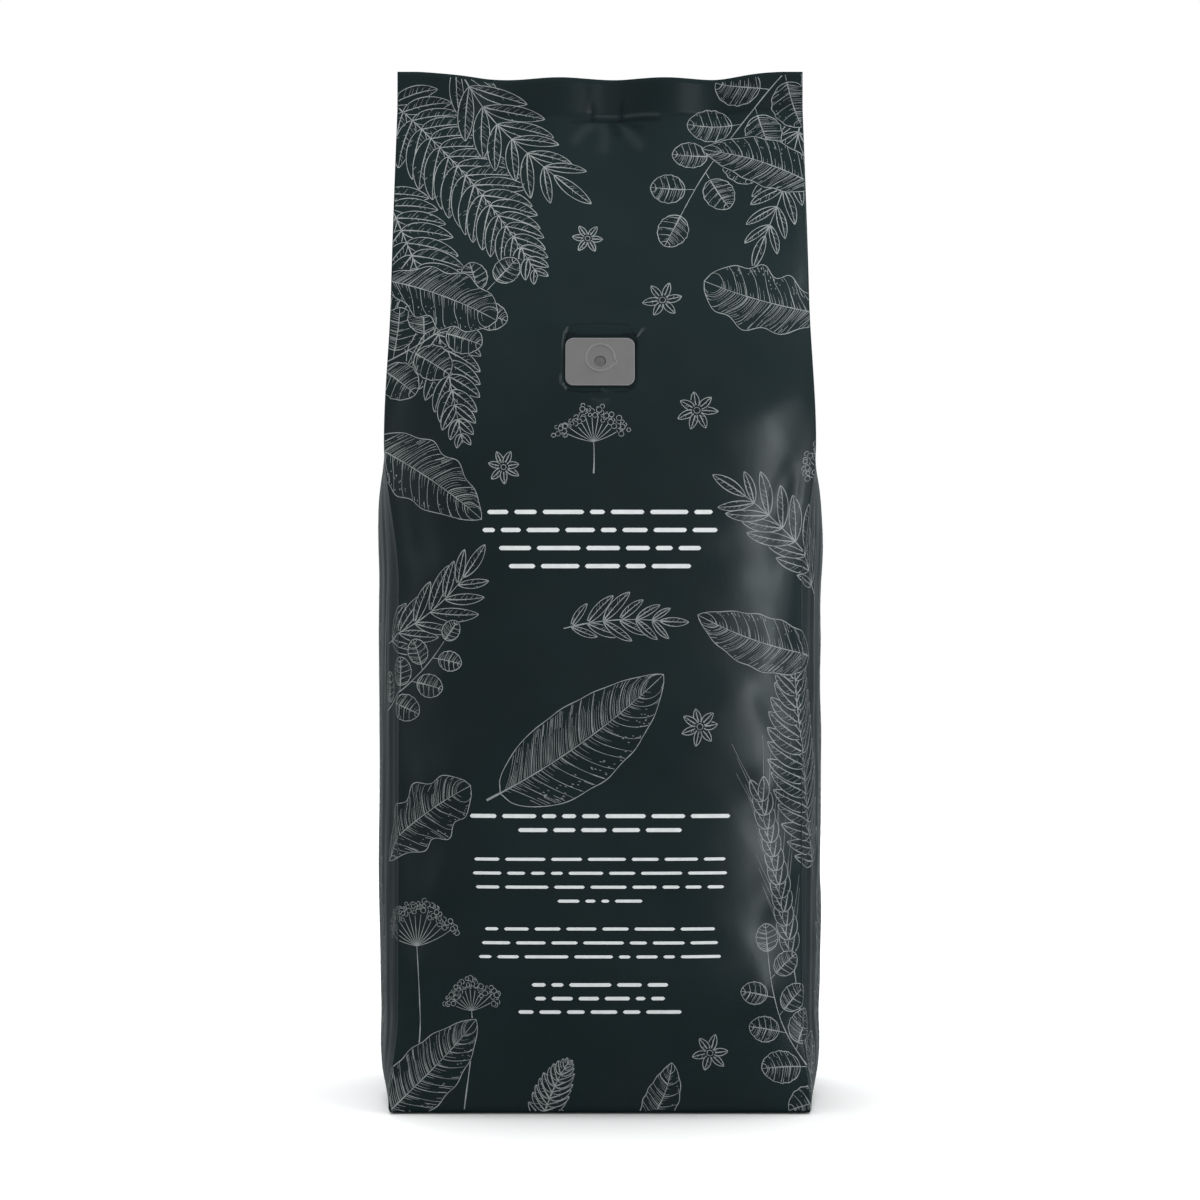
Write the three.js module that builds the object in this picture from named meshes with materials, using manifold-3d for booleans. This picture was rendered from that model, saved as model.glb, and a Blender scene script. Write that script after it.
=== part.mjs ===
// A one-kilogram coffee bag of the side-gusset kind, standing filled and heat-sealed shut. The face on its -Y
// side carries a degassing valve: a grey rounded patch with a raised ring and a small vent in its middle.
// Millimetres, +Z up, origin at the centre of the foot, where the bag stands.
import * as THREE from "three";
import { mergeVertices } from "three/addons/utils/BufferGeometryUtils.js";
import Module from "manifold-3d";

const { clamp, inverseLerp, lerp, smoothstep } = THREE.MathUtils;
const wasm = await Module();
wasm.setup();

// The film bag, laid flat
const PANEL_WIDTH = 135; // a face panel, from corner crease to corner crease
const GUSSET_WIDTH = 85; // a side gusset, from corner crease to corner crease
const CREASE_THICKNESS = 0.6; // folded film along a corner crease
const SEAL_HEIGHT = 12; // the heat-sealed band along the top edge
const SEAL_THICKNESS = 1; // the fused layers of that band

// The bag, filled and standing
const BAG_HEIGHT = 340;
const SEAL_FOOT = BAG_HEIGHT - SEAL_HEIGHT;
const BODY_HALF_DEPTH = 42; // corner creases from the middle plane, where the beans fill the bag
const FACE_BULGE = 11; // the middle of a face stands this far out from its creases
const FACE_FLATNESS = 4; // exponent of a face's crown: flat in the middle, rolled near the creases
const GUSSET_BULGE = 8.7; // the middle of a gusset stands this far out from its creases
const CREASE_DRAW_IN = 3; // a bulging face pulls its creases in by this
const SHOULDER_SPLAY = 1; // the shoulder pushes the creases out by this

// Heights at which the shape changes
const CREASE_DRAWN = [2, 32]; // the creases draw in above the foot
const CREASE_FREED = [168, 216]; // and come out again below the shoulder
const SHOULDER = [170, 216, 262]; // the shoulder starts, is widest, and ends
const FACE_FILLED = [0, 48]; // a face reaches its full bulge
const FACE_EMPTIES = 215; // from here up to the seal the bulge dies away
const GUSSET_TURNS = [184, 240]; // a gusset turns from bulging out to folding in
const FOLD_SHUTS = [SEAL_FOOT - 4, SEAL_FOOT - 1]; // the fold runs out under the seal
const GUSSET_FOOT_REACH = 12; // length over which a gusset's bulge grows from the foot
const HEADSPACE_SLOPE = 0.55; // how fast the two faces part below the seal
const HEADSPACE_ROUNDING = 10; // how softly that slope turns into the upright body

// The sealed band waves in and out, and its top edge sags between the corners
const WAVE_LENGTH = 35;
const WAVE_PHASE = 4; // a wave lies furthest back at this X
const WAVE_DEPTH = 3;
const WAVE_START = 284; // height where the wave begins to show
const EDGE_SAG = 2.3;
const EDGE_RIPPLE = 0.25;
const SAG_START = 300;
const WAVE_ENDS = [36, 62]; // the wave dies away between these distances from the middle

// The foot: folded end flaps lie a little higher than the two long flaps that meet in the middle
const FOOT_ROUNDING = 1.5;
const FLAP_STEP = 0.5;
const FLAP_REACH = 34;
const FLAP_INSET = 3;
const SEAM_WIDTH = 1.2;

// The valve patch and its vent
const VALVE_HEIGHT = 240;
const PATCH_WIDTH = 22;
const PATCH_HEIGHT = 16;
const PATCH_CORNER = 2.6;
const PATCH_THICKNESS = 0.8;
const PATCH_GAP = 0.3; // clearance between the patch and the film round and under it
const SEAT_DEPTH = 0.7; // how deep the patch's flat seat lies under the film
const SEAT_SPAN = 12; // height over which the seat takes its lean from the film
const RING_RADIUS = 4.7;
const RING_WIRE = 0.45;
const RING_RISE = 1.4; // the ring's centre, above the middle of the patch
const RING_SINK = 0.1; // the ring's wire is sunk this far into the patch, from its middle
const VENT_RADIUS = 1.8;
const VENT_THICKNESS = 0.7;

// How finely the shapes are divided
const FACE_STEPS = 32;
const GUSSET_STEPS = 14;
const FOLD_SHUT_STEPS = 10;
const VENT_SIDES = 24;
const RING_STEPS = 40;
const WIRE_SIDES = 8;
const CORNER_STEPS = 6;

const COLOURS = { film: 0x212c2e, patch: 0x747373, vent: 0x5c5c5b };

// The smaller of two values, with a soft turn from one to the other.
const softMin = (a, b, softness) => -softness * Math.log(Math.exp(-a / softness) + Math.exp(-b / softness));

const evenly = (from, to, steps) => Array.from({ length: steps }, (_, i) => lerp(from, to, i / steps));

const lineOf = (steps, pointAt) => Array.from({ length: steps + 1 }, (_, i) => pointAt((2 * i) / steps - 1));

// Half the distance between the corner creases across a face.
function creaseHalfWidth(z) {
  const drawn = smoothstep(z, ...CREASE_DRAWN) * (1 - smoothstep(z, ...CREASE_FREED));
  const splay = smoothstep(z, SHOULDER[0], SHOULDER[1]) * (1 - smoothstep(z, SHOULDER[1], SHOULDER[2]));
  return PANEL_WIDTH / 2 - CREASE_DRAW_IN * drawn + SHOULDER_SPLAY * splay;
}

// Distance of the corner creases from the middle plane.
function creaseHalfDepth(z) {
  const parting = softMin(BODY_HALF_DEPTH, HEADSPACE_SLOPE * (SEAL_FOOT - z), HEADSPACE_ROUNDING);
  return SEAL_THICKNESS / 2 + Math.max(0, parting);
}

function faceBulge(z) {
  return FACE_BULGE * smoothstep(z, ...FACE_FILLED) * (1 - smoothstep(z, FACE_EMPTIES, SEAL_FOOT));
}

// How far the middle of a gusset stands out from its creases: out in the body, folded in under the seal.
function gussetReach(z) {
  const bulge = GUSSET_BULGE * (1 - Math.exp(-z / GUSSET_FOOT_REACH));
  const fold = Math.sqrt(Math.max(0, (GUSSET_WIDTH / 2) ** 2 - creaseHalfDepth(z) ** 2));
  const shut = clamp(inverseLerp(...FOLD_SHUTS, z), 0, 1);
  return lerp(bulge, -fold, smoothstep(z, ...GUSSET_TURNS)) * (1 - shut);
}

// A point of a face: across runs from -1 to 1 between its creases, and side is -1 in front and 1 behind.
function facePoint(across, side, z) {
  const crown = 1 - Math.abs(across) ** FACE_FLATNESS;
  const depth = creaseHalfDepth(z) + faceBulge(z) * crown;
  return new THREE.Vector3(across * creaseHalfWidth(z), side * depth, z);
}

// A point of a gusset: across runs from -1 at its front crease to 1 at its back crease.
function gussetPoint(across, side, z) {
  const arc = 1 - across ** 2;
  const fold = 1 - Math.abs(across);
  const out = gussetReach(z) * lerp(arc, fold, smoothstep(z, ...GUSSET_TURNS));
  const halfDepth = creaseHalfDepth(z) - CREASE_THICKNESS / 2;
  return new THREE.Vector3(side * (creaseHalfWidth(z) + out), across * halfDepth, z);
}

// Bends a point of the bag the way the sealed band waves and sags.
function wave(point) {
  const { x, z } = point;
  const ends = 1 - smoothstep(Math.abs(x), ...WAVE_ENDS);
  const ripple = Math.cos((2 * Math.PI * (x - WAVE_PHASE)) / WAVE_LENGTH);
  point.y += WAVE_DEPTH * ripple * ends * smoothstep(z, WAVE_START, SEAL_FOOT);
  point.z -= (EDGE_SAG + EDGE_RIPPLE * ripple) * ends * smoothstep(z, SAG_START, BAG_HEIGHT);
  return point;
}

// Once round the bag at one height, anticlockwise from above, starting at the front left crease. An inset
// draws the line in, to round the foot.
function ringAt(z, inset = 0) {
  const face = (side) => lineOf(FACE_STEPS, (across) => facePoint(-side * across, side, z));
  const gusset = (side) => lineOf(GUSSET_STEPS, (across) => gussetPoint(side * across, side, z));
  const points = [...face(-1), ...gusset(1), ...face(1), ...gusset(-1)];
  for (const point of points) {
    point.x -= Math.sign(point.x) * Math.min(inset, Math.abs(point.x));
    point.y -= Math.sign(point.y) * Math.min(inset, Math.abs(point.y));
  }
  return points;
}

// Heights of the rings: close together where the shape turns, wide apart along the body.
function bodyRings() {
  const heights = [
    ...evenly(FOOT_ROUNDING, CREASE_DRAWN[1], 5),
    ...evenly(CREASE_DRAWN[1], CREASE_FREED[0], 5),
    ...evenly(CREASE_FREED[0], FOLD_SHUTS[0], 17),
    ...evenly(FOLD_SHUTS[0], FOLD_SHUTS[1], FOLD_SHUT_STEPS),
    FOLD_SHUTS[1],
    ...evenly(SEAL_FOOT, BAG_HEIGHT, 3),
    BAG_HEIGHT,
  ];
  return [ringAt(0, FOOT_ROUNDING), ...heights.map((z) => ringAt(z))];
}

// The line down the middle of an end cap, one point for each point across a face.
function capSpine(z) {
  const reach = creaseHalfWidth(z) - creaseHalfDepth(z) / 2;
  return lineOf(FACE_STEPS, (across) => new THREE.Vector3(reach * across, 0, z));
}

// Triangles that close a ring over its spine. They face down, or up when flipped.
function capTriangles(ring, spine, flip) {
  const faces = [];
  const strip = (near, line) => {
    for (let i = 0; i < near.length - 1; i += 1) {
      faces.push([near[i], line[i], line[i + 1]], [near[i], line[i + 1], near[i + 1]]);
    }
  };
  const front = ring.slice(0, FACE_STEPS + 1);
  const right = ring.slice(FACE_STEPS, FACE_STEPS + GUSSET_STEPS + 3);
  const backStart = FACE_STEPS + GUSSET_STEPS + 2;
  const back = ring.slice(backStart, backStart + FACE_STEPS + 1);
  const left = [...ring.slice(backStart + FACE_STEPS), ring[0]];
  strip(front, spine);
  strip(back, [...spine].reverse());
  for (const [end, hub] of [
    [right, spine.at(-1)],
    [left, spine[0]],
  ]) {
    for (let i = 0; i < end.length - 1; i += 1) faces.push([end[i], hub, end[i + 1]]);
  }
  return flip ? faces.map(([a, b, c]) => [a, c, b]) : faces;
}

// One closed skin through all the rings.
function bagSkin() {
  const rings = bodyRings();
  const faces = [];
  for (let level = 0; level < rings.length - 1; level += 1) {
    const [low, high] = [rings[level], rings[level + 1]];
    low.forEach((point, i) => {
      const next = (i + 1) % low.length;
      faces.push([point, low[next], high[next]], [point, high[next], high[i]]);
    });
  }
  faces.push(...capTriangles(rings[0], capSpine(0), false));
  faces.push(...capTriangles(rings.at(-1), capSpine(BAG_HEIGHT), true));
  const waved = new Map();
  const corner = (point) => {
    if (!waved.has(point)) waved.set(point, wave(point.clone()).toArray());
    return waved.get(point);
  };
  const positions = new Float32Array(faces.flat().flatMap(corner));
  return new THREE.BufferGeometry().setAttribute("position", new THREE.BufferAttribute(positions, 3));
}

function toSolid(geometry) {
  const bare = geometry.index ? geometry.toNonIndexed() : geometry.clone();
  bare.deleteAttribute("normal");
  bare.deleteAttribute("uv");
  const merged = mergeVertices(bare, 1e-4);
  return new wasm.Manifold(
    new wasm.Mesh({
      numProp: 3,
      vertProperties: merged.attributes.position.array,
      triVerts: new Uint32Array(merged.index.array),
    }),
  );
}

function toGeometry(solid) {
  const mesh = solid.getMesh();
  return new THREE.BufferGeometry()
    .setAttribute("position", new THREE.BufferAttribute(mesh.vertProperties, 3))
    .setIndex(new THREE.BufferAttribute(mesh.triVerts, 1));
}

function roundedRectangle(width, height, radius) {
  const [x, y] = [width / 2, height / 2];
  return new THREE.Shape()
    .moveTo(radius - x, -y)
    .lineTo(x - radius, -y)
    .absarc(x - radius, radius - y, radius, -Math.PI / 2, 0)
    .lineTo(x, y - radius)
    .absarc(x - radius, y - radius, radius, 0, Math.PI / 2)
    .lineTo(radius - x, y)
    .absarc(radius - x, y - radius, radius, Math.PI / 2, Math.PI)
    .lineTo(-x, radius - y)
    .absarc(radius - x, radius - y, radius, Math.PI, 1.5 * Math.PI);
}

function plate(shape, depth) {
  return new THREE.ExtrudeGeometry(shape, { depth, bevelEnabled: false, curveSegments: CORNER_STEPS });
}

function disc(radius, thickness) {
  return new THREE.CylinderGeometry(radius, radius, thickness, VENT_SIDES).rotateX(Math.PI / 2);
}

// Where the valve lies: the middle of the front face, with the patch's own +Z standing out from the film.
function valvePlace() {
  const below = facePoint(0, -1, VALVE_HEIGHT - SEAT_SPAN / 2);
  const above = facePoint(0, -1, VALVE_HEIGHT + SEAT_SPAN / 2);
  const lean = Math.atan2(above.y - below.y, above.z - below.z);
  return { position: facePoint(0, -1, VALVE_HEIGHT), tilt: Math.PI / 2 - lean };
}

function placed(geometry, { position, tilt }) {
  return geometry.clone().rotateX(tilt).translate(position.x, position.y, position.z);
}

// What is cut from the film for the patch to lie in.
function valveSeat(place) {
  const margin = 2 * PATCH_GAP;
  const outline = roundedRectangle(PATCH_WIDTH + margin, PATCH_HEIGHT + margin, PATCH_CORNER + PATCH_GAP);
  return toSolid(placed(plate(outline, FACE_BULGE).translate(0, 0, -SEAT_DEPTH), place));
}

// What is cut under the foot: a shallow triangle at each end and the seam where the long flaps meet.
function footFolds() {
  const halfDepth = BODY_HALF_DEPTH - FLAP_INSET;
  const end = PANEL_WIDTH / 2 - FLAP_INSET;
  const flap = (side) => new THREE.Shape([
    new THREE.Vector2(side * end, -side * halfDepth),
    new THREE.Vector2(side * end, side * halfDepth),
    new THREE.Vector2(side * (end - FLAP_REACH), 0),
  ]);
  const seamReach = end - FLAP_REACH;
  const seam = new THREE.BoxGeometry(2 * seamReach, SEAM_WIDTH, 2 * FLAP_STEP);
  const flaps = [-1, 1].map((side) => toSolid(plate(flap(side), 2 * FLAP_STEP).translate(0, 0, -FLAP_STEP)));
  return flaps[0].add(flaps[1]).add(toSolid(seam));
}

function bag(place) {
  const solid = toSolid(bagSkin()).subtract(valveSeat(place)).subtract(footFolds());
  return toGeometry(solid);
}

// The patch: a thin rounded plate with a raised ring on it and a hole for the vent.
function valvePatch() {
  const base = toSolid(plate(roundedRectangle(PATCH_WIDTH, PATCH_HEIGHT, PATCH_CORNER), PATCH_THICKNESS));
  const ring = new THREE.TorusGeometry(RING_RADIUS, RING_WIRE, WIRE_SIDES, RING_STEPS);
  ring.translate(0, RING_RISE, PATCH_THICKNESS - RING_SINK);
  const hole = disc(VENT_RADIUS + PATCH_GAP, 3 * PATCH_THICKNESS);
  return toGeometry(base.add(toSolid(ring)).subtract(toSolid(hole)));
}

const valveVent = () => disc(VENT_RADIUS, VENT_THICKNESS).translate(0, 0, VENT_THICKNESS / 2);

function piece(name, geometry, color, roughness) {
  const mesh = new THREE.Mesh(geometry, new THREE.MeshStandardMaterial({ color, roughness, metalness: 0 }));
  mesh.name = name;
  return mesh;
}

const place = valvePlace();
const valve = new THREE.Group();
valve.position.copy(place.position);
valve.rotation.x = place.tilt;
const patchFloor = PATCH_GAP - SEAT_DEPTH;
valve.add(
  piece("valve_patch", valvePatch().translate(0, 0, patchFloor), COLOURS.patch, 0.6),
  piece("valve_vent", valveVent().translate(0, 0, patchFloor), COLOURS.vent, 0.7),
);

const coffeeBag = new THREE.Group();
coffeeBag.add(piece("bag", bag(place), COLOURS.film, 0.45), valve);

export default coffeeBag;
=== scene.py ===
"""Dresses the coffee bag: satin film with soft folds, drawn foliage, a valve patch and studio light."""

import math

import bpy
import numpy as np
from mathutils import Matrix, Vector


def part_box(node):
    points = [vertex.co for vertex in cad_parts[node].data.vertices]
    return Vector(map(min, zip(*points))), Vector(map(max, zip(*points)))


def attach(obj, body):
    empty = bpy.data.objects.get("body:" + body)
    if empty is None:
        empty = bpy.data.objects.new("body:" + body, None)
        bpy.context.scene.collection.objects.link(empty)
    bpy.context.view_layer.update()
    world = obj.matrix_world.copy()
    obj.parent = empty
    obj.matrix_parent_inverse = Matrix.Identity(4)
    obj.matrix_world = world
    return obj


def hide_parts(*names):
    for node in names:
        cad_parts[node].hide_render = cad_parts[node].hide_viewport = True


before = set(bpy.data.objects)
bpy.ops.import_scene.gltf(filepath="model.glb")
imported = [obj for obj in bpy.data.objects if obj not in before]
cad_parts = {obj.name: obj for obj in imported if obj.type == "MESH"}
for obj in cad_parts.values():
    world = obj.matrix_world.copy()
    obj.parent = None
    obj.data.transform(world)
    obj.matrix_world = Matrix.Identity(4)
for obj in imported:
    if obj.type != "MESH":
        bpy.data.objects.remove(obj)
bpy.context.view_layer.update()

MM = 0.001

# The film laid flat, in millimetres, as the solids have it
PANEL_WIDTH = 135
GUSSET_WIDTH = 85
GIRTH = 2 * (PANEL_WIDTH + GUSSET_WIDTH)
CREASE_THICKNESS = 0.6
SEAL_HEIGHT = 12
SEAL_THICKNESS = 1

# The filled bag, in millimetres. A pair gives the heights or places between which something changes
BAG_HEIGHT = (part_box("bag")[1].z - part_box("bag")[0].z) / MM
SEAL_FOOT = BAG_HEIGHT - SEAL_HEIGHT
BODY_HALF_DEPTH = 42
FACE_BULGE = 11
FACE_FLATNESS = 4
GUSSET_BULGE = 8.7
CREASE_DRAW_IN = 3
SHOULDER_SPLAY = 1.6
CREASE_DRAWN = (2, 32)
CREASE_FREED = (168, 216)
SHOULDER = (170, 216, 262)
FACE_FILLED = (0, 48)
FACE_EMPTIES = 215
GUSSET_TURNS = (172, 262)
FOLD_SHUTS = (SEAL_FOOT - 4, SEAL_FOOT - 1)
GUSSET_FOOT_REACH = 12
HEADSPACE_SLOPE = 0.55
HEADSPACE_ROUNDING = 10
WAVE_LENGTH = 35
WAVE_PHASE = 4
WAVE_DEPTH = 1.4
WAVE_START = 284
EDGE_SAG = 2.3
EDGE_RIPPLE = 0.25
SAG_START = 300
WAVE_ENDS = (36, 62)
FOOT_ROUNDING = 1.5
FLAP_STEP = 0.5
FLAP_REACH = 34
FLAP_INSET = 3
SEAM_WIDTH = 1.2

# The valve, in millimetres
VALVE_HEIGHT = 239.6
PATCH_WIDTH = 22
PATCH_HEIGHT = 16
PATCH_CORNER = 2.6
PATCH_THICKNESS = 0.8
PATCH_FLOOR = -0.4
SEAT_SPAN = 12
RING_RADIUS = 4.53
RING_WIRE = 0.45
RING_RISE = 1.25
VENT_RADIUS = 1.8
VENT_THICKNESS = 0.7

# The camera, from the photograph's perspective
CAMERA_DISTANCE = 1000
CAMERA_HEIGHT = 164
VIEW_WIDTH = 400
SENSOR_WIDTH = 36


def ease(x, low, high):
    """0 below low, 1 above high, with a smooth turn between them."""
    t = np.clip((x - low) / (high - low), 0, 1)
    return t * t * (3 - 2 * t)


def lerp(a, b, t):
    return a + (b - a) * t


def between(x, rises, falls):
    """1 in the middle, 0 outside, with a smooth turn where it rises and where it falls."""
    return ease(x, *rises) * (1 - ease(x, *falls))


def soft_min(a, b, softness):
    return -softness * np.logaddexp(-a / softness, -b / softness)


def bump(x, centre, radius):
    """A smooth hill of height 1 and about that radius."""
    return np.exp(-(((x - centre) / radius) ** 2))


def directions(turn):
    """Unit vectors that point the given ways, in radians."""
    return np.stack([np.cos(turn), np.sin(turn)], axis=-1)


def left_of(way):
    """Unit vectors to the left of the given ones."""
    return np.stack([-way[:, 1], way[:, 0]], axis=-1) / np.maximum(np.hypot(*way.T), 1e-9)[:, None]


# The bag's form, close to that of the solids


def crease_half_width(z):
    drawn = between(z, CREASE_DRAWN, CREASE_FREED)
    splay = between(z, SHOULDER[:2], SHOULDER[1:])
    return PANEL_WIDTH / 2 - CREASE_DRAW_IN * drawn + SHOULDER_SPLAY * splay


def crease_half_depth(z):
    parting = soft_min(BODY_HALF_DEPTH, HEADSPACE_SLOPE * (SEAL_FOOT - z), HEADSPACE_ROUNDING)
    return SEAL_THICKNESS / 2 + np.maximum(0, parting)


def face_bulge(z):
    return FACE_BULGE * between(z, FACE_FILLED, (FACE_EMPTIES, SEAL_FOOT))


def gusset_reach(z):
    bulge = GUSSET_BULGE * (1 - np.exp(-z / GUSSET_FOOT_REACH))
    fold = np.sqrt(np.maximum(0, (GUSSET_WIDTH / 2) ** 2 - crease_half_depth(z) ** 2))
    shut = np.clip((z - FOLD_SHUTS[0]) / (FOLD_SHUTS[1] - FOLD_SHUTS[0]), 0, 1)
    return lerp(bulge, -fold, ease(z, *GUSSET_TURNS)) * (1 - shut)


def wave(points):
    """Bends points the way the sealed band waves and sags."""
    x, z = points[..., 0], points[..., 2]
    ends = 1 - ease(np.abs(x), *WAVE_ENDS)
    ripple = np.cos(2 * np.pi * (x - WAVE_PHASE) / WAVE_LENGTH)
    y = points[..., 1] + WAVE_DEPTH * ripple * ends * ease(z, WAVE_START, SEAL_FOOT)
    low = (EDGE_SAG + EDGE_RIPPLE * ripple) * ends * ease(z, SAG_START, BAG_HEIGHT)
    return np.stack([x, y, z - low], axis=-1)


# The relief of the film, in millimetres outwards

# Waves that add up to an undulation: their number, and each kind's height, shortest and longest length
SWELL_COUNT = 7
SWELL = (0.14, 26, 80)
RIPPLE = (0.03, 13, 37)

# The back's dents beside each crease: their number and depth, and the ranges they are drawn from
CREASE_DENTS = 7
DENT_DEPTH = 1.1
DENT_LEVELS = (30, 225)
DENT_SHIFT = (-8, 8)
DENT_PLACE = (50, 60)
DENT_SLANT = (-0.1, 0.35)
DENT_LENGTH = (9, 17)
DENT_WIDTH = (4, 7)

# Where the relief fades in and out up the bag, and out towards the creases
FACE_FADE = ((2, 30), (262, 318))
FACE_EDGE = (62, PANEL_WIDTH / 2)
GUSSET_FADE = ((2, 24), (190, 240))
GUSSET_EDGE = (34, GUSSET_WIDTH / 2)
ROLL_FADE = ((200, 240), (292, 316))
CREASE_ROLL = 0.3
ROLL_REACH = 3
GUSSET_RIDGE = 0.8
RIDGE_REACH = 1.3

# The film by the valve: how far out it is taut, how deep it dips at the patch, and where its flat seat ends
VALVE_CALM = 18
VALVE_DIP = 0.22
SEAT_FADE = 9

# The seal's pleat: its height, the places of its two folds, and how steeply and gently each falls off
PLEAT_RISE = 0.2
PLEAT_FOLDS = (-2.2, 7)
PLEAT_FALLS = ((2, 3.8), (1.6, 2.8))


def swell(u, z, seed, size=SWELL):
    """The low undulation of film over beans."""
    rng = np.random.default_rng(seed)
    height = np.zeros_like(u)
    for _ in range(SWELL_COUNT):
        length = rng.uniform(*size[1:])
        lean = rng.uniform(-1, 1)
        phase = rng.uniform(0, 2 * np.pi)
        height += size[0] * np.sin(2 * np.pi * (z + lean * u) / length + phase)
    return height


def crease_dents(u, z, seed):
    """Soft slanting dents and swellings beside both creases of a face."""
    rng = np.random.default_rng(seed)
    height = np.zeros_like(u)
    for side in (-1, 1):
        for step in range(CREASE_DENTS):
            level = lerp(*DENT_LEVELS, step / (CREASE_DENTS - 1)) + rng.uniform(*DENT_SHIFT)
            place = side * rng.uniform(*DENT_PLACE)
            lean = side * rng.uniform(*DENT_SLANT)
            sign = 1 if step % 2 else -1
            along = bump(z, level, rng.uniform(*DENT_LENGTH))
            across = bump(u - lean * (z - level), place, rng.uniform(*DENT_WIDTH))
            height += sign * DENT_DEPTH * rng.uniform(0.5, 1) * along * across
    return height


# The dents beside the shown creases: their middle u and z, slant, half length, half width and height
SHOWN_DENTS = (
    (61, 196, 0.12, 17, 2.6, -0.75),
    (57, 184, 0, 7, 6, -0.45),
    (53, 168, 0, 7, 7, -0.3),
    (58, 151, 0.1, 9, 7, 1.1),
    (57, 128, -0.5, 8, 4, -0.7),
    (57, 107, 0, 6, 7, 1.0),
    (56, 91, 0, 7, 6, -0.4),
    (59, 75, 0.2, 6, 6, 0.9),
    (58, 60, 0, 5, 5, -0.5),
    (56, 40, 0, 9, 7, 1.1),
    (63, 17, 0, 6, 4, -0.4),
    (-58, 186, -0.1, 12, 4, -0.5),
    (-54, 160, 0.2, 9, 5, -0.4),
    (-58, 140, 0, 9, 4, -0.5),
    (-55, 112, -0.2, 9, 5, -0.4),
    (-58, 80, 0.1, 10, 4, -0.5),
    (-55, 46, 0.2, 9, 5, -0.4),
)


def shown_dents(u, z):
    height = np.zeros_like(u)
    for place, level, lean, length, width, rise in SHOWN_DENTS:
        height += rise * bump(z, level, length) * bump(u - lean * (z - level), place, width)
    return height + creases(u, z, SHOULDER_CREASES, SHOULDER_DENT)


def crease_line(u, z, path, width, rise):
    """A narrow ridge along a line of points, or a groove if its rise is below 0."""
    height = np.zeros_like(u)
    path = np.array(path, float)
    low, high = path.min(axis=0) - 4 * width, path.max(axis=0) + 4 * width
    near = np.flatnonzero((u > low[0]) & (u < high[0]) & (z > low[1]) & (z < high[1]))
    here = np.stack([u.flat[near], z.flat[near]], axis=-1)
    distance = np.full(len(near), np.inf)
    for start, way in zip(path[:-1], np.diff(path, axis=0)):
        t = np.clip((here - start) @ way / np.sum(way**2), 0, 1)
        distance = np.minimum(distance, np.linalg.norm(here - start - t[:, None] * way, axis=1))
    height.flat[near] = rise * np.exp(-((distance / width) ** 2))
    return height


def fold(x, steep, gentle):
    """A fold of height 1 that climbs steeply and falls gently as x grows."""
    return np.where(x < 0, bump(x, 0, steep), bump(x, 0, gentle))


# Creases by the seal, the valve and the right shoulder: their points, from the film's middle and the height
# of the seal, the valve or the dent, and their width and rise
SEAL_CREASES = (
    (((-1.6, -0.9), (6.2, -0.9)), 0.45, 0.2),
    (((-2.2, -3.0), (6.6, -3.0)), 0.5, -0.24),
    (((-2.8, 3), (-2.6, -2.6)), 0.9, -0.2),
    (((7.2, 3), (6.9, -2.6)), 0.9, -0.2),
    (((-3.4, -3.2), (-9, -4.0)), 0.7, -0.14),
    (((-3, -4.6), (-6, -7.6), (-8, -11)), 1.8, 0.1),
    (((1.0, -5), (1.6, -8), (1.2, -14)), 2.0, 0.08),
    (((4.4, -4.2), (5.4, -8)), 1.5, -0.14),
    (((7.2, -4.2), (9.6, -8), (13, -13)), 1.9, 0.1),
    (((8, -4), (13, -6)), 1.2, -0.12),
    (((7.8, -0.9), (14, -0.6), (19, -0.9)), 0.6, 0.18),
    (((7.8, -2.8), (13, -2.6), (19, -2.9)), 0.8, -0.22),
    (((-26, -0.6), (-12, -1.2), (-4, -2.4)), 0.8, -0.08),
    (((-62, 0.2), (-30, -0.2)), 0.7, -0.1),
    (((24, -1.0), (62, 0.2)), 0.7, -0.1),
)
VALVE_CREASES = (
    (((-10.6, 9.2), (-8.4, 11.9), (0, 12.2), (8.6, 11.9), (11.2, 8.4)), 0.28, -0.14),
    (((11.4, 7.8), (13.4, 10.6)), 0.28, 0.34),
    (((-10.4, 11), (-11.6, 9), (-12, 4.2)), 0.26, 0.42),
    (((-12, 4), (-12.2, -4)), 0.26, 0.06),
    (((-12.5, -4.4), (-12.3, -6.8), (-10.8, -8.6)), 0.3, 0.46),
    (((-10.4, -9.2), (-5, -10), (0.4, -9.6)), 0.32, -0.24),
    (((0.8, -8.9), (1.4, -9.8)), 0.3, 0.24),
    (((5, -9.8), (8, -9.8), (10.6, -8.2)), 0.34, -0.2),
    (((-2.4, -12.2), (0, -12.8), (2.4, -12.4)), 0.6, 0.09),
    (((-10.9, 7.4), (-10.4, 9.0), (-8, 9.0)), 0.4, -0.26),
    (((11.5, 5), (11.2, 8.6), (7, 8.9)), 0.4, -0.22),
)
SHOULDER_DENT = 206
SHOULDER_CREASES = (
    (((55, -12), (56.5, -5), (59.5, 1)), 1.9, -0.45),
    (((59.5, 1), (62, -4), (63, -10)), 1.3, -0.3),
)


def creases(u, z, rows, level):
    return sum(crease_line(u, z - level, path, width, rise) for path, width, rise in rows)


def seal_pleat(u, z):
    """The small pleat in the middle of the sealed band, and the creases that leave it."""
    up = z - SEAL_FOOT
    raised = fold(u - PLEAT_FOLDS[0], *PLEAT_FALLS[0])
    lowered = fold(PLEAT_FOLDS[1] - u, *PLEAT_FALLS[1])
    pleat = PLEAT_RISE * (raised - lowered) * ease(up, -1, 1.5)
    return pleat + creases(u, z, SEAL_CREASES, SEAL_FOOT)


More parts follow.
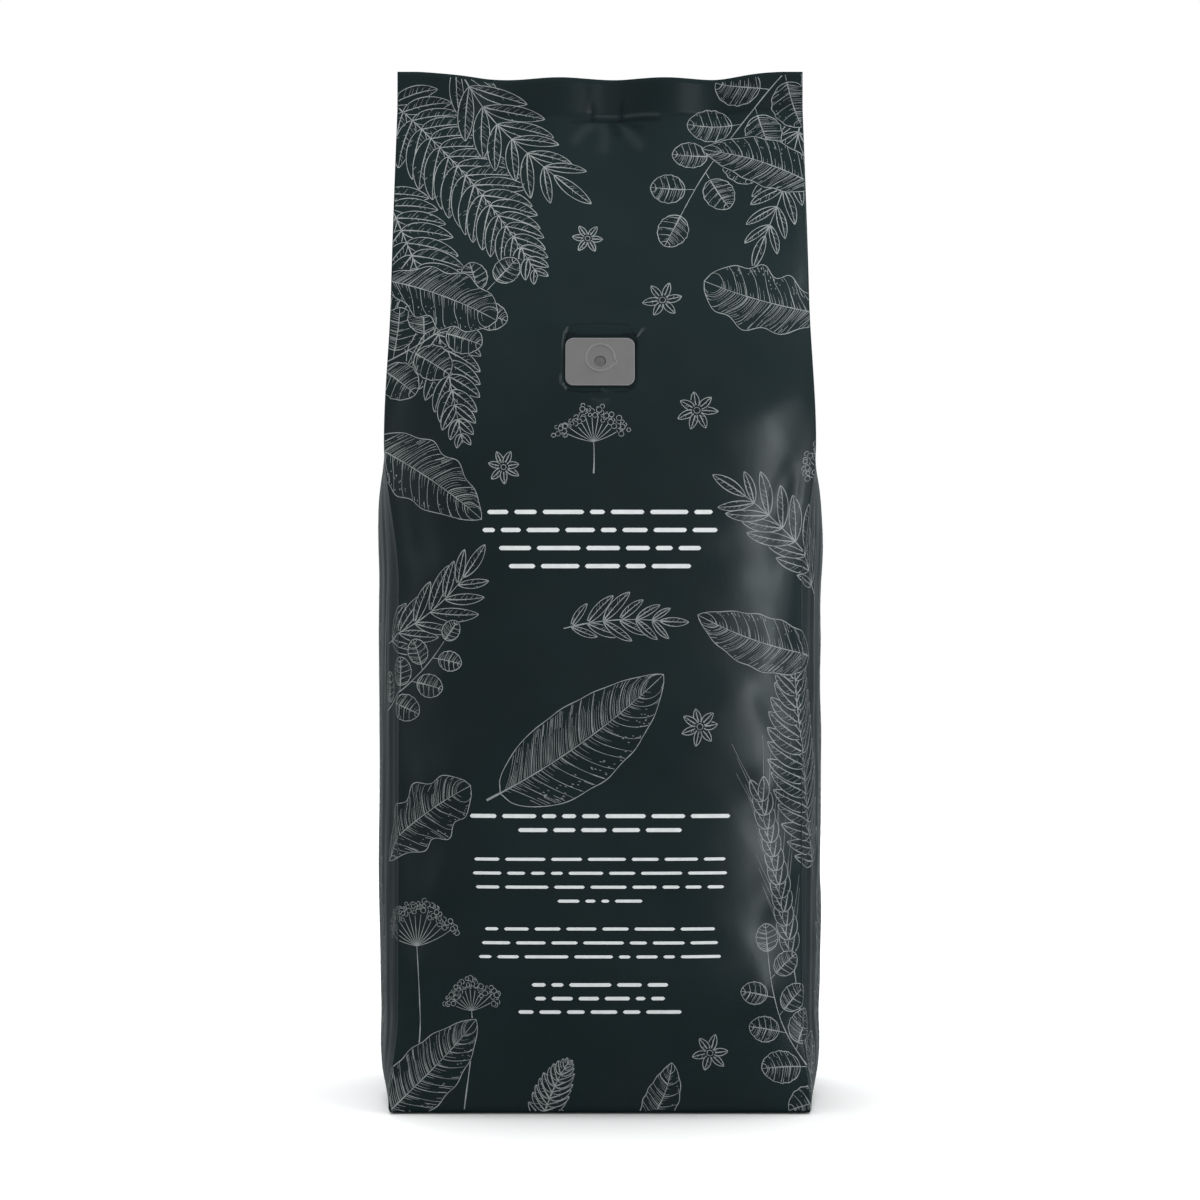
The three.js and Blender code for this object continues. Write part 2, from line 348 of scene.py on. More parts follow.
def valve_pucker(u, z):
    """The film dips to the patch's edge, and small creases lie round it."""
    dx = np.abs(u) - PATCH_WIDTH / 2 + PATCH_CORNER
    dz = np.abs(z - VALVE_HEIGHT) - PATCH_HEIGHT / 2 + PATCH_CORNER
    past = np.hypot(np.maximum(dx, 0), np.maximum(dz, 0))
    outside = past + np.minimum(np.maximum(dx, dz), 0) - PATCH_CORNER
    return -VALVE_DIP * bump(outside, 0.2, 0.5) + creases(u, z, VALVE_CREASES, VALVE_HEIGHT)


def crease_roll(u, z):
    """How far a face rolls off beside its creases, between the filling and the seal."""
    return CREASE_ROLL * bump(PANEL_WIDTH / 2 - np.abs(u), 0, ROLL_REACH) * between(z, *ROLL_FADE)


def faded(soft, u, z):
    """A face's soft relief, faded towards the foot, the seal and the creases."""
    return soft * between(z, *FACE_FADE) * (1 - ease(np.abs(u), *FACE_EDGE)) - crease_roll(u, z)


def front_relief(u, z):
    near_valve = bump(np.hypot(u, 1.3 * (z - VALVE_HEIGHT)), 0, VALVE_CALM)
    soft = 0.7 * swell(u, z, 3) + swell(u, z, 12, RIPPLE) + shown_dents(u, z)
    return faded(soft * (1 - near_valve), u, z) + seal_pleat(u, z)


def back_relief(u, z):
    return faded(swell(u, z, 8) + swell(u, z, 14, RIPPLE) + crease_dents(u, z, 21), u, z)


def gusset_relief(u, z, seed):
    """The gusset's pressed fold shows as a faint ridge down the body."""
    fade = between(z, *GUSSET_FADE) * (1 - ease(np.abs(u), *GUSSET_EDGE))
    streaks = 0.06 * np.sin(u * 1.1 + 0.02 * z) + 0.12 * np.sin(u * 0.63 - 0.03 * z + seed)
    return fade * (0.4 * swell(u, z, seed) + streaks - GUSSET_RIDGE * bump(u, 0, RIDGE_REACH))


def valve_seat(points, u, z):
    """Flattens the film under the patch and round it."""
    place, normal, _ = VALVE_FRAME
    lift = (points - place) @ normal
    beside = np.abs(u) - PATCH_WIDTH / 2
    above = np.abs(z - VALVE_HEIGHT) - PATCH_HEIGHT / 2
    near = 1 - ease(np.maximum(beside, above), 0, SEAT_FADE)
    return points - (near * lift)[..., None] * normal


def face_points(u, z, side, relief):
    """u runs from the middle of the face, from left to right as it is seen."""
    across = u / (PANEL_WIDTH / 2)
    crown = 1 - np.abs(across) ** FACE_FLATNESS
    depth = crease_half_depth(z) + face_bulge(z) * crown + relief
    return np.stack([-side * across * crease_half_width(z), side * depth, z + 0 * u], axis=-1)


def gusset_points(u, z, side, seed):
    across = u / (GUSSET_WIDTH / 2)
    turned = ease(z, *GUSSET_TURNS)
    out = gusset_reach(z) * lerp(1 - across**2, 1 - np.abs(across), turned) + gusset_relief(u, z, seed)
    half_depth = crease_half_depth(z) - CREASE_THICKNESS / 2
    return np.stack([side * (crease_half_width(z) + out), side * across * half_depth, z + 0 * u], axis=-1)


def front_points(u, z):
    points = valve_seat(face_points(u, z, -1, front_relief(u, z)), u, z)
    return points + valve_pucker(u, z)[:, None] * VALVE_FRAME[1]


def back_points(u, z):
    return face_points(u, z, 1, back_relief(u, z))


# The sides in order round the bag, each gusset with its side and the seed of its relief
SIDES = ((front_points,), (gusset_points, 1, 31), (back_points,), (gusset_points, -1, 41))


def film(u, z):
    """The points of the film at u along its girth, from the front's middle, and at height z."""
    u, z = np.broadcast_arrays(u, z)
    run = np.mod(u + PANEL_WIDTH / 2, GIRTH)
    ends = np.cumsum([PANEL_WIDTH, GUSSET_WIDTH, PANEL_WIDTH, GUSSET_WIDTH])
    stretch = np.searchsorted(ends[:3], run)
    points = np.empty(u.shape + (3,))
    for k, (place, *options) in enumerate(SIDES):
        here = stretch == k
        middle = ends[k] - (GUSSET_WIDTH if k % 2 else PANEL_WIDTH) / 2
        points[here] = place(run[here] - middle, z[here], *options)
    return wave(points)


def valve_frame():
    """The valve's place on the face, and the ways out of the film and up along it there."""
    u = np.zeros(3)
    z = VALVE_HEIGHT + np.array([-SEAT_SPAN / 2, 0, SEAT_SPAN / 2])
    below, place, above = face_points(u, z, -1, 0 * u)
    up = (above - below) / np.linalg.norm(above - below)
    normal = np.cross([1, 0, 0], up)
    return place, normal, up


VALVE_FRAME = valve_frame()


def film_normal(u, z, step=0.05):
    along_u = film(u + step, z) - film(u - step, z)
    along_z = film(u, z + step) - film(u, z - step)
    normal = np.cross(along_u, along_z)
    return normal / np.linalg.norm(normal, axis=-1, keepdims=True)


# Making meshes


def add_object(name, data):
    obj = bpy.data.objects.new(name, data)
    bpy.context.scene.collection.objects.link(obj)
    return obj


def make_object(name, points, faces):
    mesh = bpy.data.meshes.new(name)
    mesh.from_pydata((points * MM).tolist(), [], faces)
    mesh.validate()
    mesh.polygons.foreach_set("use_smooth", [True] * len(mesh.polygons))
    return add_object(name, mesh)


def mark(obj, name, values):
    """Stores a value at each point, which the material reads by this name."""
    attribute = obj.data.attributes.new(name, "FLOAT", "POINT")
    attribute.data.foreach_set("value", values.astype(np.float32))


def tube(rings, count):
    """The faces between rings of count points each."""
    faces = []
    for low in range(0, (rings - 1) * count, count):
        high = low + count
        for i in range(count):
            j = (i + 1) % count
            faces.append((low + i, low + j, high + j, high + i))
    return faces


def spaced(*stretches):
    """Numbers in order, each stretch from its start to the next at a step of its own."""
    numbers = []
    for (start, step), (end, _) in zip(stretches, stretches[1:]):
        numbers.extend(np.linspace(start, end, max(1, round((end - start) / step)), endpoint=False))
    numbers.append(stretches[-1][0])
    return np.array(numbers)


# The step between rings by the valve's creases, and how far a stretch ends before its corner crease
FINE_STEP = 0.3
HAIR = 1e-4


def mirrored(half):
    """Numbers from 0 up, with their mirror image before them."""
    return np.concatenate([-half[:0:-1], half])


def ring_positions():
    """u of each point once round the bag, in four stretches: front, right, back and left."""
    half = PANEL_WIDTH / 2
    face = mirrored(spaced((0, 0.8), (9.6, 0.28), (13.6, 1.35), (half - 3, 0.6), (half - HAIR, 1)))
    gusset = GUSSET_WIDTH / 2
    side = mirrored(spaced((0, 0.9), (3, 1.6), (gusset - 3, 0.7), (gusset - HAIR, 1)))
    step = half + gusset
    return [face, step + side, 2 * step + face, 3 * step + side]


def ring_heights():
    """The heights of the rings, close together where the valve's and the seal's creases lie."""
    return spaced(
        (FOOT_ROUNDING, 1.2), (12, 2.2), (VALVE_HEIGHT - 12.8, FINE_STEP), (VALVE_HEIGHT - 7.5, 1.2),
        (VALVE_HEIGHT + 7.5, FINE_STEP), (VALVE_HEIGHT + 12.8, 1.8), (300, 1.2), (SEAL_FOOT - 10, 0.55),
        (SEAL_FOOT + 2, 1.7), (BAG_HEIGHT, 1),
    )


def foot_relief(x, y):
    """Two end flaps lie higher than the foot's long flaps, which meet in a seam."""
    half_depth = BODY_HALF_DEPTH - FLAP_INSET
    end = PANEL_WIDTH / 2 - FLAP_INSET
    into_flap = (np.abs(x) - (end - FLAP_REACH)) / FLAP_REACH - np.abs(y) / half_depth
    flap = ease(into_flap, 0, 0.05) * (1 - ease(np.abs(x), end - 0.6, end))
    seam = bump(y, 0, SEAM_WIDTH / 2) * (1 - ease(np.abs(x), end - FLAP_REACH - 1, end - FLAP_REACH))
    return FLAP_STEP * np.maximum(flap, 0.8 * seam)


def film_rings(u, z):
    """The film's rings of points. The two lowest round the edge of the foot."""
    body = film(u[None, :], z[:, None])
    foot = film(u, np.zeros(len(u)))
    foot[:, :2] *= 1 - FOOT_ROUNDING / np.array([PANEL_WIDTH / 2, BODY_HALF_DEPTH])
    rounding = lerp(foot, body[0], math.sqrt(0.5))
    rounding[:, 2] = FOOT_ROUNDING * (1 - math.sqrt(0.5))
    return np.concatenate([foot[None], rounding[None], body])


def sealed_edge(front, right, back, left):
    """The faces across the top edge, and over both folded gussets."""
    faces = [(front[i], front[i + 1], back[-2 - i], back[-1 - i]) for i in range(len(front) - 1)]
    return faces + [(front[-1], *right, back[0]), (back[-1], *left, front[0])]


def foot_sheet(points, front, right, back, left):
    """The points inside the foot's outline and its faces, row by row from the front."""
    width = points[front[-1], 0] - points[front[0], 0]
    across = (points[front[1:-1], 0] - points[front[0], 0]) / width
    grid = [front]
    rows = []
    for near, far in zip(left[::-1], right):
        first = len(points) + len(rows) * len(across)
        grid.append([near, *range(first, first + len(across)), far])
        rows.append(lerp(points[near], points[far], across[:, None]))
    grid.append(back[::-1])
    inner = np.concatenate(rows)
    inner[:, 2] += foot_relief(inner[:, 0], inner[:, 1])
    faces = []
    for low, high in zip(grid, grid[1:]):
        for i in range(len(front) - 1):
            faces.append((low[i], high[i], high[i + 1], low[i + 1]))
    return inner, faces


def bag_film():
    stretches = ring_positions()
    u = np.concatenate(stretches)
    count = len(u)
    z = ring_heights()
    rings = film_rings(u, z)
    points = rings.reshape(-1, 3)
    ends = np.cumsum([len(stretch) for stretch in stretches])
    sides = [list(range(end - len(stretch), end)) for end, stretch in zip(ends, stretches)]
    top = (len(rings) - 1) * count
    faces = tube(len(rings), count) + sealed_edge(*([top + i for i in side] for side in sides))
    inner, foot_faces = foot_sheet(points, *sides)
    bag = make_object("bag_film", np.concatenate([points, inner]), faces + foot_faces)

    face = stretches[0]
    # Heights of the creases by the seal and the valve and of the dip round the patch, which the film's
    # colour turns into painted highlight on ridges and painted shade in grooves
    creased = np.zeros(len(points) + len(inner))
    for ring, level in enumerate(z, start=len(rings) - len(z)):
        height = np.full(len(face), level)
        small = creases(face, height, SEAL_CREASES, SEAL_FOOT) + valve_pucker(face, height)
        creased[ring * count:ring * count + len(face)] = small
    mark(bag, "creased", creased)
    return bag


# The valve's patch and vent, in millimetres

PATCH_SIZES = (PATCH_WIDTH / 2, PATCH_HEIGHT / 2, PATCH_CORNER)
RING_HEIGHT = 0.25
RING_TAIL = 5.45
RIM_WIDTH = 0.32
EDGE_ROUNDING = 0.3
HOLE_RADIUS = 1.03 * VENT_RADIUS

# Their meshes: points in each ring, rings across the patch, and the steps and the reach of its rounded edge
PATCH_TURNS = 200
VENT_TURNS = 64
PATCH_RINGS = 60
EDGE_STEPS = 4
EDGE_SHARE = 1 / 30
HALVINGS = 40

# The vent's top from its edge to its middle: the radius, and how far it lies under the highest point
VENT_PROFILE = (
    (VENT_RADIUS, 0.15),
    (VENT_RADIUS - 0.1, 0.12),
    (VENT_RADIUS - 0.35, 0.22),
    (VENT_RADIUS - 0.6, 0.16),
    (VENT_RADIUS / 2, 0.06),
    (VENT_RADIUS / 6, 0),
)


def rounded_outline(turn, half_width, half_height, corner):
    """The points of a rounded rectangle in these directions from its middle, found by halving."""
    way = directions(turn)
    inner = np.array([half_width - corner, half_height - corner])
    near = np.zeros(len(turn))
    far = np.full(len(turn), half_width + half_height)
    for _ in range(HALVINGS):
        middle = (near + far) / 2
        past = np.abs(way * middle[:, None]) - inner
        distance = np.hypot(*np.maximum(past, 0).T) + np.minimum(past.max(axis=1), 0) - corner
        near = np.where(distance < 0, middle, near)
        far = np.where(distance < 0, far, middle)
    return way * near[:, None]


def on_valve(points):
    """Places points on the patch's seat. Their third axis stands out of the film."""
    place, normal, up = VALVE_FRAME
    right = np.array([1, 0, 0])
    return place + points[..., :1] * right + points[..., 1:2] * up + points[..., 2:] * normal


def at_height(flat, height):
    """Points of a plane, lifted to one height or each to its own."""
    return np.concatenate([flat, np.broadcast_to(height, len(flat))[:, None]], axis=1)


def ring_height(x, y):
    """The raised ring, which runs out into a small point at its lower right."""
    dx, dy = x, y - RING_RISE
    turn = np.degrees(np.arctan2(dy, dx))
    reach = RING_RADIUS + (RING_TAIL - RING_RADIUS) * fold(turn + 16, 14, 6)
    return bump(np.hypot(dx, dy), reach, RING_WIRE / 2)


def valve_patch():
    turn = np.linspace(0, 2 * np.pi, PATCH_TURNS, endpoint=False)
    rim = rounded_outline(turn, *PATCH_SIZES)
    hole = HOLE_RADIUS * directions(turn)
    share = np.linspace(0, 1, PATCH_RINGS)
    top = PATCH_FLOOR + PATCH_THICKNESS
    flat = lerp(hole[None], rim[None], share[:, None, None] * (1 - EDGE_SHARE))
    rows = [at_height(hole, PATCH_FLOOR)]
    rows += [at_height(ring, top + RING_HEIGHT * ring_height(*ring.T)) for ring in flat]
    for step in range(1, EDGE_STEPS + 1):
        angle = step / EDGE_STEPS * np.pi / 2
        edge = lerp(flat[-1], rim, math.sin(angle))
        rows.append(at_height(edge, top - EDGE_ROUNDING * (1 - math.cos(angle))))
    rows.append(at_height(rim, PATCH_FLOOR))
    points = np.concatenate(rows)
    faces = []
    for level in range(len(rows)):
        low, high = level * PATCH_TURNS, (level + 1) % len(rows) * PATCH_TURNS
        for i in range(PATCH_TURNS):
            j = (i + 1) % PATCH_TURNS
            faces.append((low + i, high + i, high + j, low + j))
    patch = make_object("valve_patch_shell", on_valve(points), faces)
    # The ring and the rim are painted paler, a painted highlight
    mark(patch, "raised", painted_highlight_share(points[:, 0], points[:, 1]))
    return patch


def painted_highlight_share(x, y):
    """How much painted highlight a point has: on the raised ring and along the rim."""
    inner_edge = rounded_outline(np.arctan2(y, x), *(size - RIM_WIDTH for size in PATCH_SIZES))
    outside = np.hypot(x, y) - np.hypot(*inner_edge.T)
    return np.maximum(0.5 * ring_height(x, y), ease(outside, 0, 0.25))


def valve_vent():
    circle = directions(np.linspace(0, 2 * np.pi, VENT_TURNS, endpoint=False))
    top = PATCH_FLOOR + VENT_THICKNESS
    rows = [at_height(VENT_RADIUS * circle, PATCH_FLOOR)]
    rows += [at_height(radius * circle, top - under) for radius, under in VENT_PROFILE]
    faces = tube(len(rows), VENT_TURNS)
    faces.append(tuple((len(rows) - 1) * VENT_TURNS + i for i in range(VENT_TURNS)))
    faces.append(tuple(range(VENT_TURNS))[::-1])
    return make_object("valve_vent_cap", on_valve(np.concatenate(rows)), faces)


# The print: line drawings of plants, on the film laid flat, in millimetres

# Widths of the pen's lines, the gap between hatching lines, and the number of dots per square millimetre
OUTLINE = 0.27
RIB = 0.4
VEIN = 0.19
HATCH = 0.14
STEM = 0.42
HATCH_GAP = 0.85
DOTS = 0.03

# How much a line's width wanders and how fast, the step between its points, and its height over the film
PEN_PRESSURE = 0.22
PRESSURE_RUN = 1.9
STROKE_STEP = 0.8
INK_LIFT = 0.06


class Drawing:
    """Strokes in the order of drawing. A shape hides what was drawn before it."""

    def __init__(self):
        self.strokes = []
        self.shapes = []

    def stroke(self, points, width, tip=1.0):
        steps = np.hypot(*np.diff(points, axis=0).T)
        run = np.concatenate([[0], np.cumsum(steps)])
        count = max(2, math.ceil(run[-1] / STROKE_STEP) + 1)
        at = np.linspace(0, run[-1], count)
        pressure = 1 + PEN_PRESSURE * np.sin(at / PRESSURE_RUN + points[0].sum())
        self.strokes.append((sample(points, run, at), width * pressure * np.linspace(1, tip, count)))

    def shape(self, outline):
        self.shapes.append((len(self.strokes), outline))

    def take(self, other, flip, move):
        """Adds another drawing on top, mirrored if flip is -1, and moved to the right."""
        scale, shift = np.array([flip, 1]), np.array([move, 0])
        below = len(self.strokes)
        self.shapes += [(order + below, scale * line + shift) for order, line in other.shapes]
        self.strokes += [(scale * points + shift, widths) for points, widths in other.strokes]

    def visible(self):
        """The stretches of the strokes that no later shape hides."""
        points = np.concatenate([p for p, _ in self.strokes])
        widths = np.concatenate([w for _, w in self.strokes])
        ends = np.cumsum([len(p) for p, _ in self.strokes])
        starts = np.concatenate([[0], ends[:-1]])
        low = np.minimum.reduceat(points, starts)
        high = np.maximum.reduceat(points, starts)
        shown = np.ones(len(points), bool)
        for order, outline in self.shapes:
            near = (high[:order] > outline.min(axis=0)) & (low[:order] < outline.max(axis=0))
            near = np.flatnonzero(near.all(axis=1))
            if len(near):
                under = np.concatenate([np.arange(starts[i], ends[i]) for i in near])
                shown[under[inside(points[under], outline)]] = False
        return good_stretches(points, widths, shown, np.repeat(np.arange(len(ends)), ends - starts))


def good_stretches(points, widths, good, owner=0):
    """The stretches of good points. A point's owner is the number of its line."""
    runs = np.split(np.arange(len(points)), np.flatnonzero(np.diff(2 * owner + good)) + 1)
    return [(points[r], widths[r]) for r in runs if good[r[0]] and len(r) > 1]


def sample(points, run, at):
    """The points of a line at some of the distances that run along it."""
    return np.stack([np.interp(at, run, points[:, 0]), np.interp(at, run, points[:, 1])], axis=-1)


def inside(points, outline):
    """Which points lie inside a closed outline."""
    x, y = points[:, 0, None], points[:, 1, None]
    ax, ay = outline[:, 0], outline[:, 1]
    bx, by = np.roll(ax, -1), np.roll(ay, -1)
    rise = np.where(by == ay, 1e-9, by - ay)
    crossing = ((ay > y) != (by > y)) & (x < ax + (y - ay) / rise * (bx - ax))
    return crossing.sum(axis=1) % 2 == 1


def curve(start, heading, length, bend, count=30):
    """Points along an arc that sets out at heading and turns by bend, both in degrees."""
    steps = directions(np.radians(heading + bend * np.linspace(0, 1, count))) * length / (count - 1)
    return start + np.concatenate([[[0, 0]], np.cumsum(steps[:-1], axis=0)])


def along(spine, t):
    """The point at the share t of a line."""
    return sample(spine, np.linspace(0, 1, len(spine)), t)


def heading_at(spine, t):
    ahead, behind = along(spine, min(1, t + 0.02)), along(spine, max(0, t - 0.02))
    return math.degrees(math.atan2(*(ahead - behind)[::-1]))


def pairs_along(stem, first, last, count):
    """Places on both sides of a stem: the share of its length, the point, heading and side."""
    for k in range(count):
        t = lerp(first, last, k / (count - 1))
        for side in (1, -1):
            yield t, along(stem, t), heading_at(stem, t), side


def leaf_halves(rng, t, width, belly, lobes, lobe_depth, veins):
    """How far a leaf's two halves reach from its rib. Two powers shape them."""
    rise, fall = belly
    widest = rise / (rise + fall)
    half = width / 2 * (t / widest) ** rise * ((1 - t) / (1 - widest)) ** fall
    half *= 1 + lobe_depth * np.cos(2 * np.pi * (lobes * t + 0.5)) * np.sin(np.pi * t)
    halves = []
    for side in (1, -1):
        ripple = 0.035 * np.sin(2 * np.pi * (5 * t + rng.uniform())) * min(1, veins)
        halves.append(side * half * (rng.uniform(0.92, 1.06) + ripple))
    return halves


def shade_leaf(vein, rng, halves, length, width, veins):
    """Veins and hatching, closer on one half, and dots on the other."""
    for half, density, depth in ((halves[0], 1.0, (0.45, 0.95)), (halves[1], 0.6, (0.12, 0.45))):
        for k in range(veins):
            start = lerp(0.05, 0.84, k / max(1, veins - 1)) + rng.uniform(-0.01, 0.01)
            vein(half, start, (0.02, 0.97), VEIN, 0.6)
        lines = round(density * length / HATCH_GAP * (1 if veins else 0.4))
        for k in range(lines):
            start = lerp(0.02, 0.88, (k + rng.uniform(0.1, 0.9)) / lines)
            vein(half, start, (0.03, rng.uniform(*depth)), HATCH, 0.4)
            if rng.uniform() < 0.3:
                vein(half, start, (rng.uniform(0.62, 0.85), 0.95), HATCH, 1)
    for _ in range(round(DOTS * length * width) if veins else 0):
        start, reach = rng.uniform(0.1, 0.8), rng.uniform(0.5, 0.92)
        vein(halves[1], start, (reach, reach + 0.04), VEIN, 1)


def leaf(page, rng, base, heading, length, width, bend, veins, belly=(0.6, 0.8), lobes=0,
         lobe_depth=0.0, stalk=0):
    spine = curve(base, heading, length, bend, 41)
    t = np.linspace(0, 1, len(spine))
    normal = left_of(np.gradient(spine, axis=0))
    halves = leaf_halves(rng, t, width, belly, lobes, lobe_depth, veins)
    edges = [spine + half[:, None] * normal for half in halves]
    page.shape(np.concatenate([edges[0], edges[1][::-1]]))

    def vein(half, start, reach, pen, tip):
        """A line that leaves the rib at start, over part of its way to the edge."""
        s = np.linspace(*reach, 9)
        at = np.minimum(1, start + 0.13 * s**1.3)
        out = (np.interp(at, t, half) * s)[:, None] * along(normal, at)
        page.stroke(along(spine, at) + out, pen, tip)

    shade_leaf(vein, rng, halves, length, width, veins)
    if stalk:
        run = np.linspace(-1, 0, 8)[:, None] * stalk
        page.stroke(spine[0] + run * directions(math.radians(heading)), 1.6 * RIB, 0.9)
    page.stroke(spine, RIB, 0.4)
    for edge in edges:
        page.stroke(edge, OUTLINE, 0.8)


def fern(page, rng, stem, width, pairs=20):
    """A frond whose side leaflets grow shorter towards its tip."""
    for t, place, way, side in pairs_along(stem, 0.08, 0.97, pairs):
        size = width / 2 * math.sin(math.pi * lerp(0.22, 0.97, t)) ** 0.75
        turn = way + side * (lerp(70, 40, t) + rng.uniform(-4, 4))
        leaf(page, rng, place, turn, size, 0.3 * size + 0.8, -side * 18, 0)
    page.stroke(stem, STEM, 0.4)


def round_sprig(page, rng, stem, size, count):
    """A twig with nearly round leaves on short stalks, left and right in turn."""
    for k in range(count):
        t = lerp(0.08, 1, k / (count - 1))
        side = 0 if k == count - 1 else (-1) ** k
        turn = heading_at(stem, t) + side * rng.uniform(48, 62)
        stalk = curve(along(stem, t), turn, 0.18 * size, 0, 4)
        page.stroke(stalk, VEIN)
        leaf_size = size * lerp(1, 0.6, t) * rng.uniform(0.9, 1.1)
        leaf(page, rng, stalk[-1], turn, leaf_size, 0.85 * leaf_size, 8 * side, 5, (0.55, 0.6))
    page.stroke(stem, STEM, 0.5)


def twig(page, rng, stem, size, pairs):
    """A twig with pairs of narrow leaves and one at its tip."""
    for t, place, way, side in pairs_along(stem, 0.08, 0.92, pairs):
        turn = way + side * rng.uniform(34, 50)
        leaf_size = size * math.sin(math.pi * lerp(0.3, 0.8, t)) * rng.uniform(0.85, 1.1)
        leaf(page, rng, place, turn, leaf_size, 0.26 * leaf_size, -14 * side, 0, (0.8, 0.8))
    leaf(page, rng, stem[-1], heading_at(stem, 1), 0.8 * size, 0.22 * size, 6, 0, (0.8, 0.8))
    page.stroke(stem, STEM, 0.5)


def circle(page, centre, radius):
    ring = centre + radius * directions(np.linspace(0, 2 * np.pi, 15))
    page.shape(ring)
    page.stroke(ring, VEIN)


def umbel(page, rng, stem, radius, rays):
    """A stem that opens into rays with small round seed heads."""
    page.stroke(stem, STEM, 0.6)
    for k in range(rays):
        spread = lerp(-78, 78, k / (rays - 1))
        reach = radius * rng.uniform(0.85, 1.05)
        ray = curve(stem[-1], heading_at(stem, 1) + spread, reach, -0.3 * spread, 12)
        page.stroke(ray, VEIN)
        for _ in range(7):
            offset = rng.normal(0, 0.09 * radius, 2)
            circle(page, ray[-1] + offset, rng.uniform(0.6, 0.95))


def ear(page, rng, stem, size, pairs):
    """A bearded ear of grain on its stalk."""
    page.stroke(stem, STEM, 0.5)
    for _, place, way, side in pairs_along(stem, 0.52, 0.98, pairs):
        turn = way + side * rng.uniform(20, 30)
        page.stroke(curve(place, turn - side * 6, 2.6 * size, -side * 6, 14), HATCH, 0.5)
        leaf(page, rng, place, turn, size, 0.48 * size, -side * 14, 0)


def rosette(page, rng, centre, radius, petals, turn):
    """A small open flower with pointed petals."""
    for k in range(petals):
        heading = turn + 360 * k / petals + rng.uniform(-6, 6)
        start = curve(centre, heading, 0.16 * radius, 0, 3)[-1]
        length = radius * rng.uniform(0.8, 0.95)
        leaf(page, rng, start, heading, length, 0.42 * radius, rng.uniform(-12, 12), 0)
    circle(page, centre, 0.17 * radius)


# Each row gives a stem's foot, heading, length and bend, and the size and number of its leaves or rays.
# A fern's size is its width. The broad leaves' rows give what the function leaf takes.
FERNS = (
    ((-74, 334), -41, 86, -20, 38, 18),
    ((-74, 304), -63, 96, -16, 36, 19),
    ((80, 74), 112, 78, -22, 32, 16),
    ((-19, -5), 78, 24, -20, 15, 11),
)
ROUND_SPRIGS = (
    ((-80, 236), 16, 54, 34, 15, 10),
    ((77, 354), -140, 80, 24, 18, 11),
    ((78, 2), 134, 54, -40, 14, 9),
    ((-78, 128), 26, 34, 30, 11, 7),
)
TWIGS = (
    ((-50, 347), -60, 56, 18, 20, 7),
    ((80, 166), 130, 46, 16, 16, 7),
    ((-76, 150), 18, 38, 34, 16, 6),
    ((-12, 155), 14, 32, -20, 12, 6),
    ((68, 330), -100, 50, -14, 15, 7),
)
UMBELS = (
    ((-60, -4), 88, 58, 6, 13, 13),
    ((-44, -4), 82, 38, 12, 9, 11),
    ((-2, 204), 86, 10, 8, 10, 11),
)
EARS = (
    ((72, -4), 97, 108, 6, 8, 12),
)
BROAD_LEAVES = (
    ((-72, 268), -12, 42, 18, -18, 9, (0.9, 0.6), 4, 0.14),
    ((-72, 214), -28, 42, 19, -16, 11, (0.6, 0.8), 4, 0.08),
    ((71, 300), 150, 40, 17, 20, 10),
    ((76, 256), 176, 44, 21, -20, 10, (0.9, 0.6), 4, 0.14),
    ((74, 146), 172, 44, 17, -20, 10),
    ((-76, 80), 48, 42, 18, -22, 10, (0.9, 0.6), 4, 0.16),
    ((-70, -2), 44, 44, 19, 10, 12),
    ((14, -5), 52, 24, 11, 30, 6),
    ((-33, 103), 27, 66, 27, 16, 14, (0.6, 0.8), 5, 0.05, 5),
)
# The small flowers' middles, radii and numbers of petals
ROSETTES = (
    ((20, 260), 6, 6),
    ((30, 224), 6, 7),
    ((-4, 281), 5, 6),
    ((33, 124), 6, 7),
    ((36, 20), 6, 6),
    ((-30, 206), 5, 7),
)


def front_plants(page, rng):
    """The foliage of a broad face: thick along its edges, open in the middle."""
    plants = (fern, FERNS), (twig, TWIGS), (ear, EARS), (umbel, UMBELS), (round_sprig, ROUND_SPRIGS)
    for draw, rows in plants:
        for row in rows:
            draw(page, rng, curve(*row[:4]), *row[4:])
    for row in BROAD_LEAVES:
        leaf(page, rng, *row)
    for centre, radius, petals in ROSETTES:
        rosette(page, rng, centre, radius, petals, rng.uniform(0, 360))


def gusset_plants(page, rng):
    """Foliage for a side gusset, drawn round its middle."""
    umbel(page, rng, curve((-27, 128), 92, 74, 8), 12, 13)
    fern(page, rng, curve((-15, -4), 86, 116, 8), 34)
    ear(page, rng, curve((22, -4), 93, 104, -6), 8, 12)
    twig(page, rng, curve((27, 92), 84, 62, 16), 17, 8)
    round_sprig(page, rng, curve((-2, 112), 96, 88, -22), 15, 12)
    twig(page, rng, curve((18, 190), 94, 62, 8), 17, 8)
    fern(page, rng, curve((-13, 214), 86, 86, 4), 28)


def place_plants():
    """Plants on both gussets and both faces. The back's are the front's, drawn afresh and mirrored."""
    page = Drawing()
    for flip in (1, -1):
        gusset = Drawing()
        gusset_plants(gusset, np.random.default_rng(41 + flip))
        page.take(gusset, flip, flip * GIRTH / 4)
    for flip, move, seed in ((-1, GIRTH / 2, 17), (1, 0, 5)):
        face = Drawing()
        front_plants(face, np.random.default_rng(seed))
        page.take(face, flip, move)
    return page


def by_side(strokes):
    """Strokes sorted by the side that they lie on."""
    sides = {"front": [], "back": [], "gusset": []}
    for points, widths in strokes:
        past = abs(np.mod(points[:, 0].mean() + GIRTH / 2, GIRTH) - GIRTH / 2) - PANEL_WIDTH / 2
        side = "front" if past < 0 else "gusset" if past < GUSSET_WIDTH else "back"
        sides[side].append((points, widths))
    return sides


